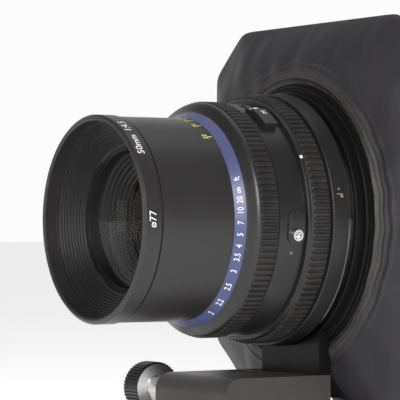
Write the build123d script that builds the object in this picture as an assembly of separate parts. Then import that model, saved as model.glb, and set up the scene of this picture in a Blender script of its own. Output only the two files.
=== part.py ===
from build123d import *
import math
import os

# A roll-film technical camera on its tripod pan head: wide-angle lens in a leaf
# shutter, lens standard on a rack-driven carriage, bag bellows, rear standard and
# a revolving roll-film back, all on one dovetail rail.
#
# Everything is drawn in the camera's frame, in millimetres: X is across, Y is the
# station, which runs back along the lens axis from the front rim, and Z is the
# height above the lens axis. The export moves it all so that the origin is the
# tripod socket, on the pan axis at the underside of the pan base.

# ---- Driving dimensions ----
axis_height = 126.0          # lens axis above the underside of the pan base
pan_station = 104.0          # station of the pan axis, under the centre of mass
running = 0.05               # radial clearance of a turning fit
sliding = 0.08               # clearance of a dovetail or slot
air = 0.3                    # gap between faces that pass each other

# Lens barrel: stations of the joints between its rings, and their radii
rim_front = -1.4             # the rim stands just ahead of station 0
filter_ring_rear = 6.5
front_barrel_rear = 38.2
scale_band_rear = 42.3
flare_rear = 46.6
distance_grip_rear = 54.9
shutter_front = 55.05
shutter_rear = 66.8
collar_rear = 68.8
aperture_grip_rear = 76.8
rear_barrel_front = 77.0
rear_barrel_rear = 84.1
lens_seat = 86.0
rim_radius = 40.4
rim_bevel = 1.0
front_barrel_radius = 39.9
scale_band_radius = 42.3
distance_ring_radius = 45.5
shutter_radius = 46.0
collar_radius = 48.0
aperture_ring_radius = 48.3
rear_barrel_radius = 50.5
lens_flange_radius = 50.8
rib_count = 118
rib_height = 0.85
filter_thread_radius = 38.1
filter_thread_rear = 4.6
baffle_seat_radius = 37.2

# Lens cells, glass and shutter
cell_bore_radius = 35.6
front_glass_radius = 28.6
front_glass_station = 12.5
front_glass_bulge = 5.6
floating_bore_radius = 24.0
floating_travel = 1.6
second_glass_radius = 21.0
rear_cell_radius = 30.0
rear_glass_radius = 24.0
light_radius = 16.4          # clear opening of the shutter and of the open iris
blade_count = 5
blade_thickness = 0.25
blade_pitch = 0.4
pivot_pin_radius = 1.0
middle_plate_front = 60.2
middle_plate_rear = 61.2
leaf_pivot_radius = 28.2
leaf_outer_radius = 25.4
iris_pivot_radius = 24.0
iris_outer_radius = 21.4

# Shutter lever and flash socket, angles counted up from +X about the lens axis
lever_low_angle = 50.0
lever_high_angle = 68.0
lever_travel = 18.0
lever_stem_offset = 7.0
lever_stem_sweep = 4.0
lever_front = 57.9
lever_rear = 64.0
lever_height = 2.6
socket_angle = -7.3
socket_station = 62.3
plate_angle = -3.8
plate_screw_angle = 1.7

# Lens standard, its carriage and the focus drive
block_front = 43.1
standard_rear = 92.4
standard_front = 86.9
block_half_width = 26.2
block_top = -61.4
block_bottom = -86.0
block_nose_radius = 7.0
upright_far_side = -14.7
mount_ring_radius = 55.0
mount_bore_radius = 49.5
counterbore_radius = 7.5
counterbore_x = -15.0
counterbore_station = 80.0
shaft_radius = 3.0
hub_radius = 5.9
hub_length = 9.8
knob_radius = 10.5
knob_length = 11.0
gear_module = 0.8
pinion_teeth = 12
pinion_width = 8.0

# Rail section and tripod clamp
rail_front = 33.0
rail_rear = 178.0
rail_top = -75.0
rail_bottom = -98.0
rail_top_half_width = 17.0
rail_web_half_width = 13.0
rail_foot_half_width = 19.0
rail_foot_height = 9.0
clamp_length = 52.0
clamp_half_width = 31.0
clamp_floor = 10.0           # metal under the rail
clamp_screw_radius = 3.0
clamp_lobe_ring = 5.4
clamp_lobe_radius = 3.4
jaw_travel = 1.5
pan_base_radius = 37.0
pan_base_height = 14.0
pan_neck_radius = 30.0
tripod_thread_radius = 3.97  # 3/8-inch thread, 16 to the inch, at its tapping size
tripod_thread_depth = 9.0
pan_pivot_radius = 9.0

# Bag bellows: an octagonal bag, dished to the lens ring and to the rear frame
bag_front = 94.6
bag_seam_front = 104.0
bag_seam_rear = 147.0
bag_half_width = 76.0
bag_half_height = 80.0
bag_corner_width = 21.0
bag_corner_height = 18.0
bag_wall = 1.6
bag_neck_half = 57.0
rear_neck_half = 52.0
rail_notch_half_width = 24.0
rail_notch_top = -71.0

# Rear standard and roll-film back, 56 by 69.5 mm frame on 120 film
rear_frame_front = 160.0
rear_frame_rear = 174.0
rear_window_half = 35.0
turntable_radius = 58.0
turntable_pilot_radius = 51.0
turntable_pilot_length = 5.7
turntable_rear = 180.0
film_plane = 190.0
back_half_width = 50.0
back_half_height = 44.0
back_rear = 226.0
back_wall = 3.0
back_corner_radius = 5.0
film_half_width = 34.75
film_half_height = 28.0
spool_length = 65.0
spool_flange_radius = 12.5
spool_core_radius = 6.0
spool_x = 27.0
spool_station = 209.0
spool_pin_radius = 2.6
spool_pin_length = 2.0
dark_slide_front = 184.0
dark_slide_thickness = 1.0
dark_slide_half_height = 32.0
pull_reach = 8.0
pull_half_height = 16.0
film_rail_height = 1.5
film_gap = 0.3
pressure_plate_thickness = 1.5
pressure_plate_margin = 4.0
door_thickness = 3.0
door_knuckle_radius = 2.6
door_pin_radius = 1.25
door_knuckle_half = 20.0
latch_travel = 4.0
latch_half_height = 6.0
latch_inset = 4.5

lens_plane = Plane(origin=(0, 0, 0), x_dir=(1, 0, 0), z_dir=(0, 1, 0))


# ---- Shared shapes ----
def block(x, station, height):
    """Box between three (low, high) pairs."""
    size = [high - low for low, high in (x, station, height)]
    centre = [(high + low) / 2 for low, high in (x, station, height)]
    return Pos(*centre) * Box(*size)


def turned(*profile):
    """Solid of revolution about the lens axis, from (radius, station) points."""
    return revolve(make_face(Polyline(*profile, close=True)), Axis.Y)


def tube(outer, inner, front, rear):
    return turned((outer, front), (outer, rear), (inner, rear), (inner, front))


def rod(radius, x, station, height):
    """Cylinder along X between a (low, high) pair, centred on a station and height."""
    low, high = x
    start = Plane(origin=(low, station, height), x_dir=(0, 1, 0), z_dir=(1, 0, 0))
    return extrude(start * Circle(radius), high - low)


def post(radius, x, station, height):
    """Cylinder along Z between a (low, high) pair of heights."""
    low, high = height
    return extrude(Plane(origin=(x, station, low)) * Circle(radius), high - low)


def around(angle):
    """Turn about the lens axis, from +X towards +Z."""
    return Rot(0, -angle, 0)


def ridged_outline(outer, inner, count):
    """Closed outline with square ridges, as on a knurl or a ribbed grip."""
    corners = []
    for ridge in range(count):
        for share, radius in ((0.0, inner), (0.12, outer), (0.48, outer), (0.60, inner)):
            angle = 2 * math.pi * (ridge + share) / count
            corners.append((radius * math.cos(angle), radius * math.sin(angle)))
    return Polyline(*corners, close=True)


def ribbed_grip(front, rear, inner, outer):
    """Ribbed rubber sleeve on a ring, its ribs chamfered at both ends."""
    ridges = make_face(lens_plane.offset(front) * ridged_outline(outer, outer - rib_height, rib_count))
    chamfer_length = 0.7
    envelope = turned((outer - rib_height, front), (outer, front + chamfer_length),
                      (outer, rear - chamfer_length), (outer - rib_height, rear),
                      (inner, rear), (inner, front))
    return extrude(ridges, rear - front, dir=(0, 1, 0)) & envelope


def glass_arc(radius, edge_station, bulge):
    """Meridian of a spherical glass face, from the lens axis to its edge."""
    sphere = (radius**2 + bulge**2) / (2 * bulge)
    half = math.asin(radius / sphere) / 2
    middle = (abs(sphere) * math.sin(abs(half)), edge_station - bulge + sphere * (1 - math.cos(half)))
    return ThreePointArc((0, edge_station - bulge), middle, (radius, edge_station))


def glass(radius, front, rear, front_bulge, rear_bulge):
    """Lens element: bulges are positive towards the front."""
    front_face = glass_arc(radius, front, front_bulge)
    rear_face = glass_arc(radius, rear, rear_bulge)
    edge = Line((radius, front), (radius, rear))
    middle = Line((0, front - front_bulge), (0, rear - rear_bulge))
    return revolve(make_face([front_face, edge, rear_face, middle]), Axis.Y)


def dovetail(top, bottom, half_top, half_bottom, front, rear, gap=0.0):
    """Prism along Y with slanted flanks, grown by a gap all round its flanks and top."""
    section = Plane(origin=(0, front, 0), x_dir=(1, 0, 0), z_dir=(0, -1, 0))
    outline = Polyline((half_top + gap, top), (half_bottom + gap, bottom),
                       (-half_bottom - gap, bottom), (-half_top - gap, top), close=True)
    return extrude(section * make_face(outline), rear - front, dir=(0, 1, 0))


# ---- Lens: front barrel and glass ----
def filter_ring():
    lead_in = 0.6
    groove = 0.5
    return turned((filter_thread_radius, filter_thread_rear), (filter_thread_radius, rim_front + lead_in),
                  (filter_thread_radius + lead_in, rim_front), (rim_radius - rim_bevel, rim_front),
                  (rim_radius, rim_front + rim_bevel), (rim_radius, filter_ring_rear - groove),
                  (rim_radius - groove, filter_ring_rear), (baffle_seat_radius, filter_ring_rear),
                  (baffle_seat_radius, filter_thread_rear))


def baffle_ring():
    """Stepped light baffle between the filter thread and the front glass."""
    steps = 9
    throat = front_glass_radius + 0.4
    mouth = baffle_seat_radius - 0.3
    rise = (front_glass_station - filter_thread_rear) / steps
    tread = (mouth - throat) / steps
    stairs = []
    for step in range(steps):
        station = filter_thread_rear + step * rise
        radius = mouth - step * tread
        stairs += [(radius, station), (radius - tread * 0.25, station + rise)]
    return turned((baffle_seat_radius, front_glass_station), (baffle_seat_radius, filter_thread_rear),
                  *stairs, (throat, front_glass_station))


def front_barrel():
    core = distance_bore_radius - running
    groove = 0.5
    return turned((front_barrel_radius - groove, filter_ring_rear),
                  (front_barrel_radius - groove, filter_ring_rear + groove),
                  (front_barrel_radius, filter_ring_rear + groove), (front_barrel_radius, front_barrel_rear),
                  (core, front_barrel_rear), (core, shutter_front), (cell_bore_radius, shutter_front),
                  (cell_bore_radius, front_glass_station), (baffle_seat_radius, front_glass_station),
                  (baffle_seat_radius, filter_ring_rear))


def front_cell():
    seat = front_glass_station + front_glass_edge
    rear = floating_rear + floating_travel + 2
    return turned((cell_bore_radius, front_glass_station), (cell_bore_radius, rear),
                  (floating_bore_radius, rear),
                  (floating_bore_radius, floating_front - 2),
                  (front_glass_radius - 2, floating_front - 2), (front_glass_radius - 2, seat),
                  (front_glass_radius, seat), (front_glass_radius, front_glass_station))


def front_element():
    rear_bulge = 4.0
    return glass(front_glass_radius, front_glass_station, front_glass_station + front_glass_edge,
                 front_glass_bulge, rear_bulge)


def floating_cell():
    skin = floating_bore_radius - running
    seat = floating_front + 1 + second_glass_edge
    return turned((skin, floating_front), (skin, floating_rear), (second_glass_radius - 4, floating_rear),
                  (second_glass_radius - 2, seat), (second_glass_radius, seat),
                  (second_glass_radius, floating_front))


def second_element():
    return glass(second_glass_radius, floating_front + 1, floating_front + 1 + second_glass_edge, 3.4, 2.6)


# ---- Lens: rings ----
def distance_ring():
    """Focusing ring: carries the scale band, flares out and carries a ribbed grip."""
    flare = Spline((scale_band_radius, scale_band_rear), (scale_band_radius + 2.3, scale_band_rear + 1.9),
                   (distance_ring_radius + rib_height, flare_rear),
                   tangents=((0.8, 1.0), (0.12, 1.0)))
    seat = scale_band_inner_radius
    rest = Polyline((distance_ring_radius + rib_height, flare_rear), (distance_ring_radius, flare_rear),
                    (distance_ring_radius, distance_grip_rear), (distance_bore_radius, distance_grip_rear),
                    (distance_bore_radius, distance_front), (seat, distance_front),
                    (seat, scale_band_rear), (scale_band_radius, scale_band_rear))
    outline = [rest, flare]
    return revolve(make_face(outline), Axis.Y)


def scale_band():
    front_radius = front_barrel_radius + 0.15
    return turned((scale_band_inner_radius, distance_front), (front_radius, distance_front),
                  (scale_band_radius, scale_band_rear), (scale_band_inner_radius, scale_band_rear))


def distance_grip():
    return ribbed_grip(flare_rear, distance_grip_rear, distance_ring_radius,
                       distance_ring_radius + rib_height + 0.35)


def aperture_ring():
    return turned((aperture_bore_radius, shutter_rear + air), (collar_radius - 0.3, shutter_rear + air),
                  (collar_radius, shutter_rear + air + 0.3), (collar_radius, collar_rear - 0.3),
                  (aperture_ring_radius, collar_rear), (aperture_ring_radius, aperture_grip_rear),
                  (aperture_bore_radius, aperture_grip_rear))


def aperture_grip():
    return ribbed_grip(collar_rear, aperture_grip_rear, aperture_ring_radius,
                       aperture_ring_radius + rib_height + 0.25)


# ---- Lens: shutter and iris ----
def shutter_barrel():
    web = 1.6
    shell = turned((core_flange_radius, shutter_front), (shutter_radius, shutter_front),
                   (shutter_radius, shutter_rear), (shutter_inner_radius, shutter_rear),
                   (shutter_inner_radius, shutter_front + web), (core_flange_radius, shutter_front + web))
    ring = tube(shutter_radius + 1, shutter_inner_radius - 1,
                lever_stem_front - sliding, lever_stem_rear + sliding)
    stem_start = lever_low_angle + lever_stem_offset
    slot = ring & sector(stem_start - 0.5, stem_start + lever_stem_sweep + 0.5 + lever_travel,
                         lever_front, lever_rear)
    return shell - slot


def sector(low_angle, high_angle, front, rear):
    """Wedge about the lens axis, wide enough to trim any ring of the lens."""
    reach = 2 * shutter_radius
    corners = [(0, 0)]
    for angle in (low_angle, high_angle):
        turn = math.radians(angle)
        corners.append((reach * math.cos(turn), reach * math.sin(turn)))
    start = Plane(origin=(0, rear, 0), x_dir=(1, 0, 0), z_dir=(0, -1, 0))
    wedge = make_face(start * Polyline(*corners, close=True))
    return extrude(wedge, rear - front, dir=(0, -1, 0))


def shutter_lever():
    """Curved slider on the shutter barrel; its stem reaches in through a slot."""
    foot = shutter_radius + running
    body = tube(foot + lever_height, foot, lever_front, lever_rear)
    body = body & sector(lever_low_angle, lever_high_angle, lever_front, lever_rear)
    ramp_angle = lever_high_angle - 5
    ramp = tube(foot + lever_height, foot + lever_height * 0.55, lever_front, lever_rear)
    ramp = ramp & sector(ramp_angle, lever_high_angle, lever_front, lever_rear)
    stem = tube(foot + 0.2, shutter_inner_radius + sliding, lever_stem_front, lever_stem_rear)
    stem_start = lever_low_angle + lever_stem_offset
    stem = stem & sector(stem_start, stem_start + lever_stem_sweep, lever_front, lever_rear)
    return body - ramp + stem


def shutter_plate():
    """Plate between the shutter leaves and the iris, with the pivot pins of both."""
    plate = tube(shutter_inner_radius, light_radius, middle_plate_front, middle_plate_rear)
    stack = blade_count * blade_pitch + 0.2
    for blade in range(blade_count):
        turn = Rot(0, blade_angle(blade), 0)
        for start, pivot_radius in ((middle_plate_front - stack, leaf_pivot_radius),
                                    (middle_plate_rear, iris_pivot_radius)):
            pin = lens_plane.offset(start) * Pos(pivot_radius, 0) * Circle(pivot_pin_radius)
            plate += turn * extrude(pin, stack, dir=(0, 1, 0))
    return plate


def blade_angle(blade):
    """Angle of a blade's pivot about +Y."""
    return 360.0 / blade_count * blade


def blade(number, station, pivot_radius, outer_radius, start_angle, sweep):
    """Crescent blade in its own layer, with an ear on its pivot pin."""
    outer = CenterArc((0, 0), outer_radius, start_angle, sweep)
    inner = CenterArc((0, 0), light_radius, start_angle, sweep)
    crescent = make_face([outer, inner, Line(outer @ 0, inner @ 0), Line(outer @ 1, inner @ 1)])
    ear_radius = pivot_pin_radius + 1.3
    neck_length = pivot_radius - outer_radius + 1
    neck = Pos(pivot_radius - neck_length / 2, 0) * Rectangle(neck_length, 2 * ear_radius)
    outline = crescent + neck + Pos(pivot_radius, 0) * Circle(ear_radius)
    outline -= Pos(pivot_radius, 0) * Circle(pivot_pin_radius + running)
    flat = extrude(lens_plane.offset(station) * outline, blade_thickness, dir=(0, 1, 0))
    return Rot(0, blade_angle(number), 0) * flat


def shutter_leaf(number):
    station = middle_plate_front - (number + 1) * blade_pitch
    return blade(number, station, leaf_pivot_radius, leaf_outer_radius, -6, 92)


def iris_blade(number):
    station = middle_plate_rear + (number + 1) * blade_pitch - blade_thickness
    return blade(number, station, iris_pivot_radius, iris_outer_radius, -8, 96)


def sync_plate():
    """Small curved cover plate under the flash socket, with a screw at its upper end."""
    thickness = 0.6
    skin = tube(shutter_radius + thickness, shutter_radius, shutter_front, shutter_rear)
    outline = RectangleRounded(7.6, 12.6, 3.0)
    face = Plane(origin=(shutter_radius - 2, socket_station + 0.3, 0), x_dir=(0, 1, 0), z_dir=(1, 0, 0))
    plate = skin & around(plate_angle) * extrude(face * outline, 6)
    return plate - around(socket_angle) * rod(socket_radius, (shutter_radius - 2, shutter_radius + 4),
                                              socket_station, 0) + plate_screw(thickness)


def plate_screw(thickness):
    top = shutter_radius + thickness + 0.5
    head = rod(1.5, (shutter_radius + thickness - 0.3, top), socket_station + 0.3, 0)
    slot = block((top - 0.3, top + 1), (socket_station - 2, socket_station + 3), (-0.2, 0.2))
    return around(plate_screw_angle) * (head - slot)


def sync_terminal():
    outer = rod(socket_radius, (shutter_radius, shutter_radius + 2.4), socket_station, 0)
    bore = rod(socket_radius - 0.7, (shutter_radius + 0.5, shutter_radius + 3), socket_station, 0)
    pin = rod(0.45, (shutter_radius, shutter_radius + 1.8), socket_station, 0)
    skin = tube(shutter_radius + 5, shutter_radius, shutter_front, shutter_rear)
    return around(socket_angle) * (outer - bore + pin) & skin


# ---- Lens: rear barrel, cell and bayonet ----
def rear_barrel():
    sleeve = aperture_bore_radius - running
    web_front = rear_barrel_front + 3
    return turned((sleeve, shutter_rear), (sleeve, rear_barrel_front),
                  (rear_barrel_radius - 0.3, rear_barrel_front),
                  (rear_barrel_radius, rear_barrel_front + 0.3), (rear_barrel_radius, rear_barrel_rear),
                  (rear_cell_radius, rear_barrel_rear), (rear_cell_radius, web_front),
                  (sleeve - 3.5, web_front), (sleeve - 3.5, shutter_rear))


def rear_cell():
    front = 66.5
    seat = rear_glass_rear - rear_glass_edge
    return turned((rear_cell_radius, front), (rear_cell_radius, rear_glass_rear),
                  (rear_glass_radius, rear_glass_rear), (rear_glass_radius, seat),
                  (rear_glass_radius - 2, seat),
                  (light_radius + 2, front + 2), (light_radius + 2, front))


def rear_element():
    return glass(rear_glass_radius, rear_glass_rear - rear_glass_edge, rear_glass_rear, 1.5, -2.5)


def lens_flange():
    """Bright seating flange with three bayonet tabs."""
    ring = turned((rear_cell_radius, rear_barrel_rear), (lens_flange_radius - 0.3, rear_barrel_rear),
                  (lens_flange_radius, rear_barrel_rear + 0.3), (lens_flange_radius, lens_seat),
                  (bayonet_radius, lens_seat), (bayonet_radius, bayonet_rear),
                  (bayonet_radius - 2.5, bayonet_rear),
                  (bayonet_radius - 2.5, lens_seat), (rear_cell_radius, lens_seat))
    tabs = tube(bayonet_radius + tab_height, bayonet_radius - 1, tab_front, bayonet_rear)
    for tab in range(3):
        middle = 90 + 120 * tab
        ring += tabs & sector(middle - 20, middle + 20, tab_front, bayonet_rear)
    return ring


def bayonet_ring():
    """Mount ring in the standard: three tongues in front of the lens's tabs."""
    outer = mount_bore_radius
    ring = turned((bayonet_radius + tab_height + air, lens_seat), (outer, lens_seat), (outer, mount_step),
                  (bayonet_radius + tab_height + air, mount_step))
    tongues = tube(outer - 1, bayonet_radius + running, lens_seat, tab_front - air)
    for tongue in range(3):
        middle = 90 + 120 * tongue
        ring += tongues & sector(middle - 22, middle + 22, lens_seat, tab_front - air)
    return ring


# ---- Lens standard and its carriage ----
def lens_standard():
    """Stepped mount ring and upright plate, cut from one casting."""
    ring = turned((mount_bore_radius - 3.5, standard_front), (51.2, standard_front),
                  (51.6, standard_front + 0.4),
                  (51.8, standard_front + 3), (53.6, standard_front + 3.2), (54.0, standard_front + 3.6),
                  (54.3, standard_rear - 0.6), (mount_ring_radius, standard_rear - 0.3),
                  (mount_ring_radius, standard_rear), (mount_bore_radius - 3.5, standard_rear))
    upright = block((upright_far_side, block_half_width), (standard_front, standard_rear), (block_top, -30))
    bore = tube(mount_bore_radius, 0.5, standard_front - 1, mount_step) + turned(
        (0, standard_front - 1), (mount_bore_radius - 3.5, standard_front - 1),
        (mount_bore_radius - 3.5, standard_rear + 1), (0, standard_rear + 1))
    plate = ring + upright - bore
    for x, floor in screw_places:
        plate -= post(standard_screw_radius, x, standard_screw_station, (block_top - 1, standard_screw_top))
    return plate


def carriage(front, rear):
    """Block that rides the rail on a dovetail."""
    body = block((-block_half_width, block_half_width), (front, rear), (block_bottom, block_top))
    groove = dovetail(rail_top + sliding, rail_waist, rail_top_half_width, rail_web_half_width,
                      front - 1, rear + 1, sliding)
    relief = block((-rail_web_half_width - sliding, rail_web_half_width + sliding), (front - 1, rear + 1),
                   (block_bottom - 1, rail_waist + 0.01))
    return body - groove - relief


def front_block():
    body = carriage(block_front, standard_rear)
    top_front = body.edges().filter_by(Axis.X).sort_by(lambda edge: edge.center().Z - edge.center().Y)[-1]
    body = fillet(top_front, block_nose_radius)
    channel = pinion_width / 2 + 0.6
    body -= block((-channel, channel), (block_front - 1, standard_rear + 1), (rail_top - 1, rack_tip + air))
    body -= rod(bearing_radius, (-block_half_width - 1, channel), shaft_station, shaft_height)
    body -= rod(shaft_radius + running, (0, block_half_width - 8), shaft_station, shaft_height)
    body -= block((-channel, channel), (shaft_station - bearing_radius, shaft_station + bearing_radius),
                  (rack_tip, shaft_height))
    body -= post(counterbore_radius, counterbore_x, counterbore_station, (block_top - 2.2, block_top + 1))
    body -= post(standard_screw_radius, counterbore_x, counterbore_station, (rail_top + 1.5, block_top))
    for x, floor in screw_places:
        body -= post(standard_screw_radius, x, standard_screw_station, (floor - 1, block_top + 1))
        body -= post(screw_head_radius, x, standard_screw_station, (floor - 1, floor + screw_head_height + 0.4))
    return body


def standard_screws():
    """Two screws that hold the upright, and the gib screw in its counterbore."""
    shape = []
    for x, floor in screw_places:
        head_floor = floor + 0.4
        head_end = head_floor + screw_head_height
        shank = post(standard_screw_radius, x, standard_screw_station, (head_end, standard_screw_top))
        head = post(screw_head_radius, x, standard_screw_station, (head_floor, head_end))
        key = post(standard_screw_radius / 2, x, standard_screw_station, (floor, head_floor + 1.4))
        shape.append(shank + head - key)
    head_top = block_top - 0.5
    gib_head = post(counterbore_radius - 1.3, counterbore_x, counterbore_station, (block_top - 2.2, head_top))
    gib_shank = post(standard_screw_radius, counterbore_x, counterbore_station,
                     (rail_top + 1.5, block_top - 2.2))
    coin_slot = block((counterbore_x - 9, counterbore_x + 9),
                      (counterbore_station - 0.6, counterbore_station + 0.6),
                      (head_top - 0.8, head_top + 1))
    shape.append(gib_head + gib_shank - coin_slot)
    return Compound(children=shape)


def bellows_ring():
    return turned((mount_bore_radius - 3.5, standard_rear), (mount_ring_radius - 0.4, standard_rear),
                  (mount_ring_radius - 0.4, bag_front - air), (mount_bore_radius - 3.5, bag_front - air))


# ---- Focus drive ----
def focus_bearing():
    """Bearing bush pressed into the carriage, with a six-sided collar outside."""
    collar_end = knob_face + dial_height + air
    inside = rod(bearing_radius, (-block_half_width, -pinion_width / 2 - 0.6), shaft_station, shaft_height)
    start = Plane(origin=(collar_end, shaft_station, shaft_height), x_dir=(0, 1, 0), z_dir=(1, 0, 0))
    collar = extrude(start * RegularPolygon(hub_radius * 1.08, 6), -block_half_width - collar_end)
    collar = collar & rod(hub_radius, (collar_end, -block_half_width), shaft_station, shaft_height)
    shaft_hole = rod(shaft_radius + running, (collar_end - 1, 0), shaft_station, shaft_height)
    return inside + collar - shaft_hole


def focus_knob():
    start = Plane(origin=(knob_end, shaft_station, shaft_height), x_dir=(0, 1, 0), z_dir=(1, 0, 0))
    rim = extrude(start * make_face(ridged_outline(knob_radius, knob_radius - 0.6, 44)), knob_length)
    trim = Plane(origin=(0, shaft_station, shaft_height), x_dir=(1, 0, 0), z_dir=(0, 0, 1))
    envelope = revolve(trim * make_face(Polyline(
        (knob_end, 0), (knob_end, knob_radius - 1.2), (knob_end + 1.2, knob_radius),
        (knob_face - 0.8, knob_radius),
        (knob_face, knob_radius - 0.8), (knob_face, 0), close=True)),
        Axis((0, shaft_station, shaft_height), (1, 0, 0)))
    dish = rod(knob_radius - 3.5, (knob_end - 1, knob_end + 1.2), shaft_station, shaft_height)
    recess = rod(dial_radius, (knob_face - dial_recess, knob_face + 1), shaft_station, shaft_height)
    hole = rod(shaft_radius, (knob_end - 1, knob_face + 1), shaft_station, shaft_height)
    return (rim & envelope) - dish - recess - hole


def knob_dial():
    """Bright conical washer in the inner face of the knob."""
    inner_face = knob_face + dial_height
    profile = Polyline((knob_face - dial_recess, shaft_radius), (knob_face - dial_recess, dial_radius),
                       (knob_face + 0.1, dial_radius), (inner_face, hub_radius),
                       (inner_face, shaft_radius), close=True)
    trim = Plane(origin=(0, shaft_station, shaft_height), x_dir=(1, 0, 0), z_dir=(0, 0, 1))
    return revolve(trim * make_face(profile), Axis((0, shaft_station, shaft_height), (1, 0, 0)))


def involute_angle(radius):
    """Involute function of the pressure angle at a radius outside the base circle."""
    pressure = math.acos(min(1.0, base_radius / radius))
    return math.tan(pressure) - pressure


def focus_pinion():
    """Pinion cut on the knob's shaft, with one tooth pointing down at rest."""
    corners = []
    half_tooth = math.pi * gear_module * tooth_share / (2 * pitch_radius)
    working = tip_radius - base_radius
    flank = [root_radius] + [base_radius + share * working for share in (0, 0.25, 0.5, 0.75, 1)]
    for tooth in range(pinion_teeth):
        middle = -math.pi / 2 + 2 * math.pi * tooth / pinion_teeth
        spread = [half_tooth + involute_angle(pitch_radius) - involute_angle(max(radius, base_radius))
                  for radius in flank]
        for radius, half in zip(flank, spread):
            corners.append((radius * math.cos(middle - half), radius * math.sin(middle - half)))
        for radius, half in reversed(list(zip(flank, spread))):
            corners.append((radius * math.cos(middle + half), radius * math.sin(middle + half)))
    start = Plane(origin=(-pinion_width / 2, shaft_station, shaft_height), x_dir=(0, 1, 0), z_dir=(1, 0, 0))
    teeth = extrude(start * make_face(Polyline(*corners, close=True)), pinion_width)
    return teeth + rod(shaft_radius, (knob_end, block_half_width - 9), shaft_station, shaft_height)


def focus_rack():
    """Rack let into the top of the rail; a gap faces the pinion's lowest tooth."""
    tooth_pitch = math.pi * gear_module
    root = pitch_height - rack_dedendum
    half_tooth = tooth_pitch * tooth_share / 2
    slope = math.tan(math.radians(pressure_angle))
    first = math.ceil((rack_front + 1 - shaft_station) / tooth_pitch) + 0.5
    corners = [(rack_front, rack_bottom), (rack_front, root)]
    for tooth in range(rack_teeth):
        middle = shaft_station + (first + tooth) * tooth_pitch
        foot = half_tooth + rack_dedendum * slope
        crest = half_tooth - rack_addendum * slope
        corners += [(middle - foot, root), (middle - crest, rack_tip), (middle + crest, rack_tip),
                    (middle + foot, root)]
    rear = corners[-1][0] + 1
    corners += [(rear, root), (rear, rack_bottom)]
    side = Plane(origin=(-rack_half_width, 0, 0), x_dir=(0, 1, 0), z_dir=(1, 0, 0))
    return extrude(side * make_face(Polyline(*corners, close=True)), 2 * rack_half_width)


# ---- Rail, rear standard and bellows ----
def rail():
    foot = rail_bottom + rail_foot_height
    body = dovetail(rail_top, rail_waist, rail_top_half_width, rail_web_half_width, rail_front, rail_rear)
    body += block((-rail_web_half_width, rail_web_half_width), (rail_front, rail_rear), (foot, rail_waist))
    body += dovetail(foot, rail_bottom, rail_web_half_width, rail_foot_half_width, rail_front, rail_rear)
    rack = focus_rack().bounding_box()
    body -= block((-rack_half_width, rack_half_width), (rack.min.Y, rack.max.Y), (rack_bottom, rail_top + 1))
    return body


def rear_block():
    return carriage(rear_frame_front + air, rail_rear)


def octagon(station, half_width, half_height, corner_width, corner_height):
    corners = []
    for x_sign, z_sign, upright_first in ((1, 1, True), (-1, 1, False), (-1, -1, True), (1, -1, False)):
        side = (x_sign * half_width, z_sign * (half_height - corner_height))
        end = (x_sign * (half_width - corner_width), z_sign * half_height)
        corners += [side, end] if upright_first else [end, side]
    start = Plane(origin=(0, station, 0), x_dir=(1, 0, 0), z_dir=(0, -1, 0))
    return start * make_face(Polyline(*corners, close=True))


def bag(shrink):
    """Octagonal bag, every face moved in by a wall."""
    neck_corner = 2 * (bag_neck_half - shrink) * 0.25
    rear_corner = 2 * (rear_neck_half - shrink) * 0.25
    neck = octagon(bag_front, bag_neck_half - shrink, bag_neck_half - shrink, neck_corner, neck_corner)
    seams = [octagon(station, bag_half_width - shrink, bag_half_height - shrink,
                     bag_corner_width, bag_corner_height)
             for station in (bag_seam_front + shrink, bag_seam_rear - shrink)]
    rear = octagon(rear_frame_front, rear_neck_half - shrink, rear_neck_half - shrink, rear_corner, rear_corner)
    shape = loft([neck, seams[0]], ruled=True) + loft(seams, ruled=True) + loft([seams[1], rear], ruled=True)
    notch = block((-rail_notch_half_width - shrink, rail_notch_half_width + shrink),
                  (bag_front - 1, rear_frame_front + 1), (-bag_half_height - 1, rail_notch_top + shrink))
    return shape - notch


def bellows():
    return bag(0.0) - bag(bag_wall)


def rear_frame():
    """Square frame with a window in front and a round bore for the turntable."""
    half = -block_top
    body = block((-half, half), (rear_frame_front, rear_frame_rear), (-half, half))
    body = fillet(body.edges().filter_by(Axis.Y), 6)
    body -= block((-rear_window_half, rear_window_half), (rear_frame_front - 1, rear_frame_rear), (
        -rear_window_half, rear_window_half))
    return body - tube(turntable_pilot_radius + running, 0.5,
                       rear_frame_rear - turntable_pilot_length - air, rear_frame_rear + 1)


# ---- Roll-film back ----
def back_adapter():
    """Turntable that lets the film back turn from upright to level."""
    front = rear_frame_rear + air
    pilot_front = front - turntable_pilot_length
    plate = turned((0, pilot_front), (turntable_pilot_radius, pilot_front), (turntable_pilot_radius, front),
                   (turntable_radius, front), (turntable_radius, turntable_rear), (0, turntable_rear))
    return plate - film_window(pilot_front - 1, turntable_rear + 1)


def film_window(front, rear):
    return block((-film_half_width, film_half_width), (front, rear), (-film_half_height, film_half_height))


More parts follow.
